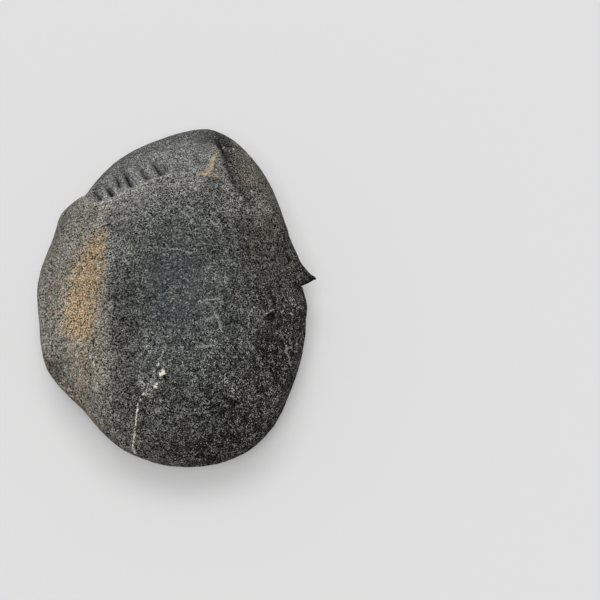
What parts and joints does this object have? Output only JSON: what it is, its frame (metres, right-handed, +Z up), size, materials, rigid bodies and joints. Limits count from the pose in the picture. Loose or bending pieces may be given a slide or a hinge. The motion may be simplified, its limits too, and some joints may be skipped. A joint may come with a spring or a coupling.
{
  "type": "shaligram stone",
  "caption": "Palm-sized dark river-worn fossil nodule with ammonite ribs bared along one edge, lying on its back on a small flat spot.",
  "frame": {"origin": "centre of the stone's bounding box in plan, on the surface it rests on", "axes": "+Z up from the flat spot it rests on, +Y along the stone towards the end with the bared fossil ribs, +X across it towards the side with the pointed spur"},
  "size_m": [0.0842, 0.1064, 0.0498],
  "materials": {
    "stone": "matt, worn smooth by a river, finely speckled"
  },
  "bodies": {
    "root": {"shaligram_stone": "stone"}
  },
  "joints": []
}
